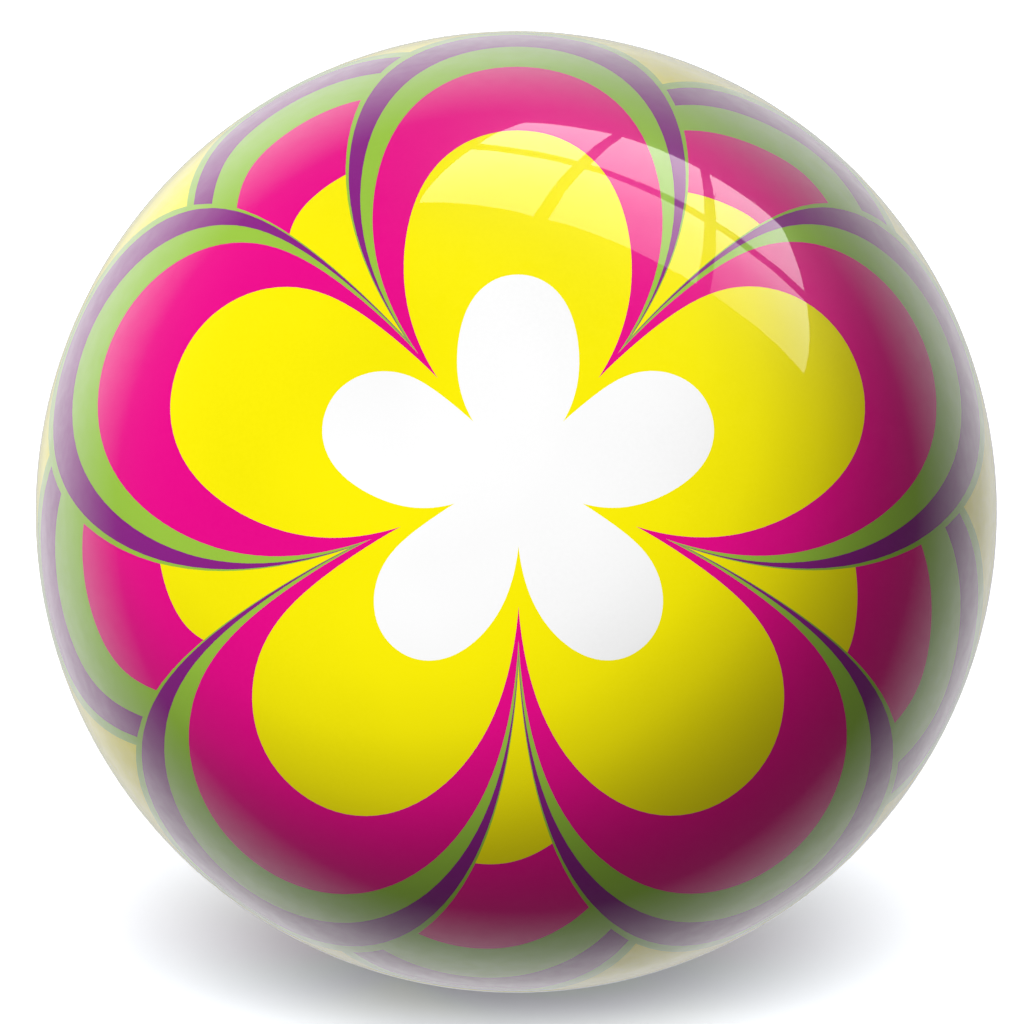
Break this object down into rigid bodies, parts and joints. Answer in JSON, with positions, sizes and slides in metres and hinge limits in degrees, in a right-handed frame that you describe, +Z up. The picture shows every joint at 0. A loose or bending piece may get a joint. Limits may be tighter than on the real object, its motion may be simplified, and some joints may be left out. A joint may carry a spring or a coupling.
{
  "type": "juggling ball",
  "caption": "Round moulded-shell juggling ball with a printed five-petal flower on each half, a loose inner fill and a push-in filler plug.",
  "frame": {"origin": "the ball's centre", "axes": "+Z up; -Y is the side that the front flower faces, with the flower's middle turned up 20 degrees above level; the filler plug is at the opposite pole, at the back and 20 degrees below level"},
  "size_m": [0.072, 0.072, 0.072],
  "materials": {
    "shell": "moulded white plastic, satin inside",
    "plug": "moulded soft white plastic, fine satin",
    "fill": "settled loose granules, dry and dull",
    "ink_white": "printed white under clear gloss lacquer",
    "ink_yellow": "printed yellow under clear gloss lacquer",
    "ink_magenta": "printed magenta under clear gloss lacquer",
    "ink_green": "printed leaf green under clear gloss lacquer",
    "ink_purple": "printed purple under clear gloss lacquer"
  },
  "bodies": {
    "ball": {"front_shell": "shell", "back_shell": "shell", "front_white": "ink_white", "front_yellow": "ink_yellow", "front_magenta": "ink_magenta", "front_green": "ink_green", "front_purple": "ink_purple", "back_white": "ink_white", "back_yellow": "ink_yellow", "back_magenta": "ink_magenta", "back_green": "ink_green", "back_purple": "ink_purple"},
    "plug": {"filler_plug": "plug"},
    "fill": {"fill": "fill"}
  },
  "joints": [
    {"name": "plug_pull", "type": "slide", "parent": "ball", "child": "plug", "axis": [0, 0.9397, -0.342], "range_m": [0, 0.014]},
    {"name": "fill_swing", "type": "hinge", "parent": "ball", "child": "fill", "pos_m": [0, 0, 0], "axis": [0, 0.9397, -0.342], "continuous": true}
  ]
}
